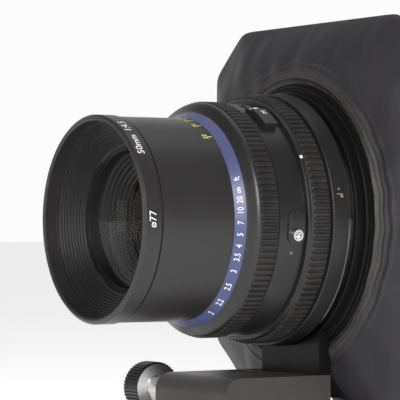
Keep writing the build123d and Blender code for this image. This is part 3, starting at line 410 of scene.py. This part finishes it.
def bagRows():
    # each row is (share of the way from neck to seam outline, inset, station, neck radius)
    sizes = bagSizes
    neck, seam, rear = sizes["neckStation"], sizes["seamStation"], sizes["rearSeam"]
    rows = [(0.0, 0, neck + 1.2 * mm, sizes["neckRadius"] - 1.6 * mm),
            (0.0, 0, neck + 0.2 * mm, sizes["neckRadius"] - 0.4 * mm)]
    steps = sizes["frontRows"]
    for step in range(1, steps + 1):
        share = (step / steps) ** 1.5
        roll = 1.3 * mm * math.exp(-((share - 0.10) / 0.07) ** 2)
        dish = (seam - neck) * (0.25 * share + 0.75 * share ** 2.1)
        rows.append((share, 0, neck + dish - roll, sizes["neckRadius"]))
    rows.append((1.0, -0.3 * mm, seam + 0.9 * mm, 0))
    rows.append((1.0, 0.0, seam + 2.2 * mm, 0))
    rows.append((1.0, sizes["seamAllowance"], seam + 2.6 * mm, 0))
    walls = 14
    front, back = seam + 3.4 * mm, rear - 3.4 * mm
    for step in range(walls + 1):
        share = step / walls
        sag = 4.5 * mm * math.sin(math.pi * share) ** 0.8
        rows.append((1.0, sizes["seamAllowance"] + 0.6 * mm + sag, front + share * (back - front), 0))
    rows.append((1.0, sizes["seamAllowance"], rear - 2.6 * mm, 0))
    rows.append((1.0, 0.0, rear - 2.2 * mm, 0))
    rows.append((1.0, -0.3 * mm, rear - 0.9 * mm, 0))
    end = rearLow.y - stationZero
    for step in range(12, -1, -1):
        share = step / 12
        dish = (end - rear - 0.8 * mm) * (0.4 * share + 0.6 * share ** 2)
        rows.append((share, 0, end - 0.8 * mm - dish, sizes["rearNeck"]))
    return rows


def wrinkle(point, share):
    # slow waves and folds that fan out from the neck to the corners
    slow = noise.noise(Vector((point.x, point.y * 0.6, point.z)) * 34)
    fine = noise.noise(Vector((point.x * 1.4, point.y, point.z * 0.55)) * 92)
    return (1.25 * slow + 0.5 * fine) * mm * math.sin(math.pi * min(1.0, max(0.0, share))) ** 0.7


def makeBag():
    # a circle drawn out once for each row, then every ring is laid on its outline
    sizes = bagSizes
    rows = bagRows()
    frontEnd = sizes["frontRows"] + 2
    bag = turnedShape("leather_bag", [(row * mm, 50 * mm) for row in range(len(rows))], sizes["around"])
    worn = []
    for vertex in bag.data.vertices:
        number = round((vertex.co.y - stationZero) / mm)
        angle = math.atan2(vertex.co.z - axisHeight, vertex.co.x)
        share, inset, station, neck = rows[number]
        reach = octagonReach(angle, inset)
        radius = neck + (reach - neck) * share if share < 1 else reach
        place = Vector((radius * math.cos(angle), stationZero + station, axisHeight + radius * math.sin(angle)))
        front = number <= frontEnd
        if front:
            # fine ridges follow the mount ring, gathers fan out beyond them
            ridge = sum(height * math.exp(-((radius - at) / width) ** 2)
                        for at, width, height in sizes["ridges"])
            gather = (math.sin(angle * 23 + 2.0 * math.sin(angle * 3))
                      * math.exp(-((radius - 62 * mm) / (6 * mm)) ** 2))
            place.y += wrinkle(place, share) - ridge - 0.3 * mm * gather
        else:
            outwards = Vector((math.cos(angle), 0, math.sin(angle)))
            place += outwards * 0.8 * wrinkle(place, share if share < 1 else 0.35)
        vertex.co = place
        nearNeck = math.exp(-((radius - 59.0 * mm) / (3.6 * mm)) ** 2)
        nearEdge = math.exp(-((reach - radius) / (2.0 * mm)) ** 2)
        worn.append(max(nearNeck, 0.8 * nearEdge) if front else 0.35 * nearEdge)
    bag.data.attributes.new("worn", "FLOAT", "POINT").data.foreach_set("value", worn)
    solid = bag.modifiers.new("wall", "SOLIDIFY")
    solid.thickness = sizes["leather"]
    solid.offset = -1
    applyAll(bag)
    bag.data.shade_smooth()
    return bag


bag = makeBag()
dress(bag, "leather")
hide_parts("bellows")


def makeStitches():
    # one short saddle stitch, copied round the front and rear seams
    sizes = bagSizes
    bpy.ops.mesh.primitive_cylinder_add(vertices=8, radius=0.28 * mm, depth=2.0 * mm,
                                        rotation=(0, math.pi / 2, 0))
    stitch = bpy.context.object
    bpy.ops.object.transform_apply(rotation=True)
    pick(stitch)
    bpy.ops.object.mode_set(mode="EDIT")
    bpy.ops.mesh.select_all(action="SELECT")
    bpy.ops.mesh.bevel(offset=0.12 * mm, segments=1)
    bpy.ops.object.mode_set(mode="OBJECT")
    template = stitch.data
    made = []
    inset = sizes["seamAllowance"] * 0.85
    for station, side in ((sizes["seamStation"], -1), (sizes["rearSeam"], 1)):
        angle = 0.0
        while angle < 2 * math.pi:
            reach = octagonReach(angle) - inset
            ahead = octagonReach(angle + 0.01) - inset
            here = Vector((reach * math.cos(angle), 0, reach * math.sin(angle)))
            along = Vector((ahead * math.cos(angle + 0.01), 0, ahead * math.sin(angle + 0.01))) - here
            lift = side * (0.25 + 0.9) * mm
            spot = Vector((here.x, stationZero + station + lift, axisHeight + here.z))
            copy = bpy.data.objects.new("stitch", template.copy())
            turn = math.atan2(along.z, along.x)
            copy.data.transform(Matrix.Translation(spot) @ Matrix.Rotation(-turn, 4, "Y"))
            bpy.context.collection.objects.link(copy)
            made.append(copy)
            angle += sizes["stitchStep"] * 0.01 / along.length
    bpy.data.objects.remove(stitch)
    return joinShapes(made, "bag_stitches")


stitches = makeStitches()
dress(stitches, "thread")
for piece in (bag, stitches):
    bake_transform(piece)
print("bag sewn")

# glass and the rings behind it
# sizes of the glass and its mask in millimetres
glassSizes = {
    "front_element": {"radius": 28.55, "front": 12.5, "rear": 16.0, "frontBulge": 5.6, "rearBulge": 4.0},
    "second_element": {"radius": 20.95, "front": 28.0, "rear": 32.0, "frontBulge": 3.4, "rearBulge": 2.6},
}
maskSizes = {"front": 18.2, "frontRadius": 25.9, "rear": 26.4, "rearRadius": 17.6, "steps": 7, "wall": 0.5}


def glassFace(radius, edge, bulge, rings=18):
    # stations and radii of a spherical face, from near the axis to its edge
    sphere = (radius ** 2 + bulge ** 2) / (2 * abs(bulge))
    face = []
    for ring in range(1, rings + 1):
        here = radius * ring / rings
        sag = sphere - math.sqrt(sphere ** 2 - here ** 2)
        face.append(((edge - bulge + math.copysign(sag, bulge)) * mm, here * mm))
    return face


def glassElement(node, finish, body):
    sizes = glassSizes[node]
    front = glassFace(sizes["radius"], sizes["front"], sizes["frontBulge"])
    rear = glassFace(sizes["radius"], sizes["rear"], sizes["rearBulge"])
    piece = turnedShape(node + "_glass", front + rear[::-1], 128)
    pick(piece)
    bpy.ops.object.mode_set(mode="EDIT")
    bpy.ops.mesh.select_all(action="DESELECT")
    bpy.ops.mesh.select_mode(type="EDGE")
    bpy.ops.mesh.select_non_manifold()
    bpy.ops.mesh.edge_face_add()
    bpy.ops.mesh.select_all(action="SELECT")
    bpy.ops.mesh.normals_make_consistent(inside=False)
    bpy.ops.object.mode_set(mode="OBJECT")
    pick(piece)
    bpy.ops.object.shade_smooth_by_angle(angle=math.radians(30))
    dress(piece, finish)
    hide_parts(node)
    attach(piece, body)


def makeMask():
    # stepped light mask behind the front glass
    sizes = maskSizes
    profile = []
    for step in range(sizes["steps"]):
        share = step / sizes["steps"]
        station = sizes["front"] + share * (sizes["rear"] - sizes["front"])
        radius = sizes["frontRadius"] + share * (sizes["rearRadius"] - sizes["frontRadius"])
        rise = (sizes["rear"] - sizes["front"]) / sizes["steps"]
        profile += [(station * mm, radius * mm), ((station + rise * 0.9) * mm, (radius - 0.15) * mm)]
    wall = sizes["wall"] * mm
    outer = [(station + wall, radius + wall) for station, radius in reversed(profile)]
    mask = turnedShape("glass_mask", profile + outer, 128, closed=True)
    bevel = mask.modifiers.new("edges", "BEVEL")
    bevel.width = 0.06 * mm
    bevel.segments = 2
    applyAll(mask)
    mask.data.shade_smooth()
    dress(mask, "mask")
    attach(mask, "front_standard")


glassElement("front_element", "front glass", "front_standard")
glassElement("second_element", "inner glass", "floating_cell")
makeMask()
print("glass ground")

# engraved marks
scaleSizes = {"capHeight": 2.0 * mm, "station": 39.15 * mm}
scaleMarks = [("ft", 22), ("∞", 15.6), ("20", 10.4), ("10", 4.6), ("7", -1.8), ("5", -8), ("4", -14.2),
              ("3.5", -20.4), ("3", -28.6), ("2.5", -38.6), ("2.2", -50.5), ("2", -61)]
depthSizes = {"capHeight": 2.1 * mm, "station": 36.0 * mm, "index": 95.0, "tick": 1.9 * mm,
              "barrelEnd": 38.1 * mm, "barrelRadius": 39.9 * mm}
depthMarks = [("22", 42.2), ("16", 29.6), ("11", 20.4), ("8", 13.0)]
letterSizes = {"capHeight": 2.9 * mm, "base": 3.5 * mm}


def wrapText(text, angle, station, radius, capHeight, slope=0.0, lift=0.05 * mm):
    # flat lettering bent round the lens: it reads upwards, with its head towards the front
    bpy.ops.object.text_add()
    words = bpy.context.object
    words.data.body = text
    words.data.size = capHeight / 0.70
    words.data.align_x = "CENTER"
    words.data.extrude = 0.04 * mm
    words.data.resolution_u = 3
    pick(words)
    bpy.ops.object.convert(target="MESH")
    words = bpy.context.object
    for vertex in words.data.vertices:
        along, up, out = vertex.co
        here = radius + slope * (-up) + lift + out
        vertex.co = onLens(angle + math.degrees(along / radius), station - up, here)
    return words


def tick(angle, front, rear, radius, width, lift=0.04 * mm, height=0.04 * mm):
    # short straight mark along the axis, bent to the surface
    bpy.ops.mesh.primitive_cube_add(size=1)
    mark = bpy.context.object
    pick(mark)
    bpy.ops.object.mode_set(mode="EDIT")
    bpy.ops.mesh.select_all(action="SELECT")
    bpy.ops.mesh.bevel(offset=0.08, segments=2)
    bpy.ops.object.mode_set(mode="OBJECT")
    for vertex in mark.data.vertices:
        across, along, out = vertex.co
        vertex.co = onLens(angle + math.degrees(across * width / radius),
                           front + (along + 0.5) * (rear - front), radius + lift + (out + 0.5) * height)
    return mark


def finishMarks(shapes, name, finish, body):
    made = joinShapes(shapes, name)
    dress(made, finish)
    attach(made, body)
    return made


# the blue band is a cone from its front edge to its rear edge
bandSizes = {"front": 38.4 * mm, "frontRadius": 40.05 * mm, "rear": 42.3 * mm, "rearRadius": 42.3 * mm}
bandSlope = (bandSizes["rearRadius"] - bandSizes["frontRadius"]) / (bandSizes["rear"] - bandSizes["front"])
digitStation = scaleSizes["station"] + 2.2 * mm
bandRadius = bandSizes["frontRadius"] + bandSlope * (digitStation - bandSizes["front"])
digits = [wrapText(text, angle, digitStation, bandRadius, scaleSizes["capHeight"], bandSlope)
          for text, angle in scaleMarks]
finishMarks(digits, "scale_digits", "white", "distance_ring")

barrelRadius = depthSizes["barrelRadius"]
numbers = []
for text, away in depthMarks:
    for side in (-1, 1):
        place = depthSizes["index"] + side * away
        numbers.append(wrapText(text, place, depthSizes["station"], barrelRadius, depthSizes["capHeight"]))
        numbers.append(tick(place, depthSizes["barrelEnd"] - depthSizes["tick"], depthSizes["barrelEnd"],
                            barrelRadius, 0.35 * mm))
finishMarks(numbers, "depth_numbers", "yellow", "front_standard")
finishMarks([tick(depthSizes["index"], 32.5 * mm, depthSizes["barrelEnd"], barrelRadius, 0.5 * mm)],
            "distance_index", "white", "front_standard")

rimRadius = (rimHigh.x - rimLow.x) / 2
letters = [wrapText("50mm  1:4.5", 52, letterSizes["base"], rimRadius, letterSizes["capHeight"]),
           wrapText("ø77", 0, letterSizes["base"], rimRadius, letterSizes["capHeight"])]
finishMarks(letters, "rim_numbers", "white", "front_standard")

leverRadius = 48.65 * mm
lowRadius = leverRadius - 1.15 * mm  # the step beside the lever's pad
leverMarks = [tick(65.6, 58.6 * mm, 61.0 * mm, lowRadius, 0.5 * mm),
              tick(63.0, 58.6 * mm, 60.4 * mm, leverRadius, 0.5 * mm),
              wrapText("M", 59.5, 62.9 * mm, leverRadius, 2.2 * mm),
              wrapText("N", 66.0, 62.9 * mm, lowRadius, 2.2 * mm)]
finishMarks(leverMarks, "lever_marks", "white", "shutter_lever")


def domedDot(angle, station, radius, width, height=0.22 * mm):
    bpy.ops.mesh.primitive_uv_sphere_add(segments=20, ring_count=10, radius=width)
    dot = bpy.context.object
    for vertex in dot.data.vertices:
        across, along, out = vertex.co
        vertex.co = onLens(angle + math.degrees(across / radius), station + along,
                           radius + out / width * height)
    return dot


finishMarks([domedDot(30.3, 67.9 * mm, 48.0 * mm, 0.75 * mm)],
            "aperture_dot", "white", "aperture_ring")
finishMarks([wrapText("X", -16.2, 62.0 * mm, 46.0 * mm, 1.5 * mm)],
            "sync_mark", "bronze", "front_standard")
collarRadius = 50.5 * mm
finishMarks([domedDot(13.5, 80.2 * mm, collarRadius, 0.4 * mm, 0.12 * mm),
             tick(11.2, 79.0 * mm, 81.8 * mm, collarRadius, 0.35 * mm),
             tick(10.2, 80.6 * mm, 81.8 * mm, collarRadius, 0.9 * mm)],
            "mount_mark", "bronze", "front_standard")
print("marks engraved")

# floor, lights and camera
viewSizes = {"azimuth": 58.0, "elevation": -0.7, "distance": 923.1 * mm, "right": 40.6 * mm,
             "up": 7.5 * mm, "lens": 216.0, "sensor": 36}
# name, place, size of the panel, watts
lightSizes = [
    ("overhead", (-0.1, 0.1, 1.25), (1.0, 1.0), 3),
    ("key", (1.15, -0.75, 0.62), (0.6, 0.6), 20),
    ("front window", (0.35, -1.35, 0.42), (0.35, 0.55), 0.6),
    ("left window", (-1.00, -1.02, 0.16), (0.24, 0.30), 0.5),
    ("far window", (-0.95, -1.10, 0.62), (0.14, 0.26), 0.2),
]


def makeStage():
    bpy.ops.mesh.primitive_plane_add(size=40)
    floor = bpy.context.object
    floor.name = "studio_floor"
    paper = Finish("studio paper", Specular_IOR_Level=0.2)
    paper.wear(Base_Color=paper.ramp(paper.noise(3), 0.3, 0.7, (0.90, 0.90, 0.90), (0.93, 0.93, 0.93)),
               Roughness=0.9, Emission_Color=(0.97, 0.96, 0.965), Emission_Strength=0.60)
    floor.data.materials.append(paper.material)


def softbox(name, place, towards, size, power):
    light = bpy.data.lights.new(name, "AREA")
    light.shape = "RECTANGLE"
    light.size, light.size_y = size
    light.energy = power
    lamp = bpy.data.objects.new(name, light)
    bpy.context.collection.objects.link(lamp)
    lamp.location = place
    lamp.rotation_mode = "QUATERNION"
    lamp.rotation_quaternion = (Vector(towards) - Vector(place)).to_track_quat("-Z", "Y")


def makeLights():
    # white paper behind the camera's subject, a dimmer room everywhere else
    world = bpy.data.worlds.new("studio")
    bpy.context.scene.world = world
    world.use_nodes = True
    tree = world.node_tree
    where = tree.nodes.new("ShaderNodeTexCoord")
    facing = tree.nodes.new("ShaderNodeVectorMath")
    facing.operation = "DOT_PRODUCT"
    facing.inputs[1].default_value = (-0.848, 0.530, 0.0)
    paper = tree.nodes.new("ShaderNodeValToRGB")
    paper.color_ramp.elements[0].position = 0.55
    paper.color_ramp.elements[0].color = (0.20, 0.20, 0.20, 1)
    paper.color_ramp.elements[1].position = 0.93
    paper.color_ramp.elements[1].color = (0.975, 0.972, 0.975, 1)
    tree.links.new(where.outputs["Generated"], facing.inputs[0])
    tree.links.new(facing.outputs["Value"], paper.inputs[0])
    tree.links.new(paper.outputs["Color"], tree.nodes["Background"].inputs["Color"])
    middle = (0, 0, axisHeight)
    for name, place, size, power in lightSizes:
        softbox(name, place, middle, size, power)


def makeCamera():
    azimuth, elevation = math.radians(viewSizes["azimuth"]), math.radians(viewSizes["elevation"])
    back = Vector((math.sin(azimuth) * math.cos(elevation), -math.cos(azimuth) * math.cos(elevation),
                   math.sin(elevation)))
    right = Vector((math.cos(azimuth), math.sin(azimuth), 0))
    up = back.cross(right)
    data = bpy.data.cameras.new("camera")
    data.lens = viewSizes["lens"]
    data.sensor_width = viewSizes["sensor"]
    camera = bpy.data.objects.new("camera", data)
    bpy.context.collection.objects.link(camera)
    camera.location = (Vector((0, stationZero, axisHeight)) + back * viewSizes["distance"]
                       + right * viewSizes["right"] + up * viewSizes["up"])
    camera.rotation_mode = "QUATERNION"
    camera.rotation_quaternion = Matrix((right, up, back)).transposed().to_quaternion()
    bpy.context.scene.camera = camera


makeStage()
makeLights()
makeCamera()
bpy.context.scene.view_settings.view_transform = "Standard"
print("studio lit")
